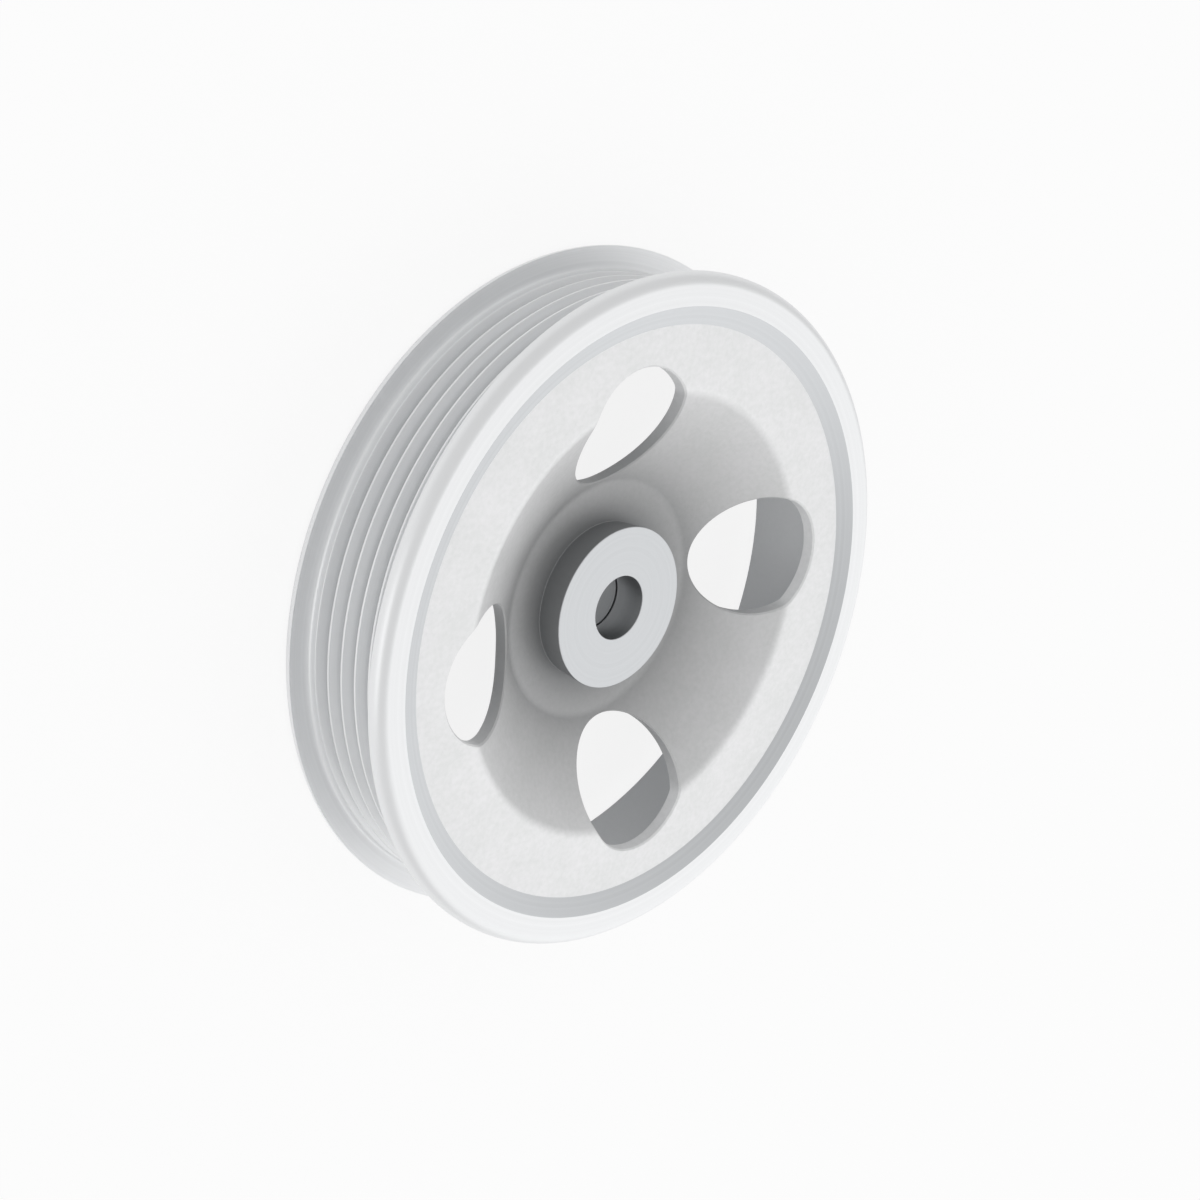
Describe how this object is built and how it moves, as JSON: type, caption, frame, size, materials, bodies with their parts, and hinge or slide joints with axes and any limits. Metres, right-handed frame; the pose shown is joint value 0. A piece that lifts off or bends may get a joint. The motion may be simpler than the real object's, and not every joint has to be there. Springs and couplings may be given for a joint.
{
  "type": "belt pulley",
  "caption": "Flanged pulley for a ribbed belt, one casting with V-grooves, a dished web with round windows and a plain hub bore.",
  "frame": {"origin": "on the axis, in the plane of the rim's back face, on which the pulley lies", "axes": "+Z along the axis, out of the front face; +X and +Y through windows"},
  "size_m": [0.1284, 0.1284, 0.0259],
  "materials": {
    "cast_alloy": "fine-cast alloy, satin where it is turned"
  },
  "bodies": {
    "root": {"pulley": "cast_alloy"}
  },
  "joints": []
}
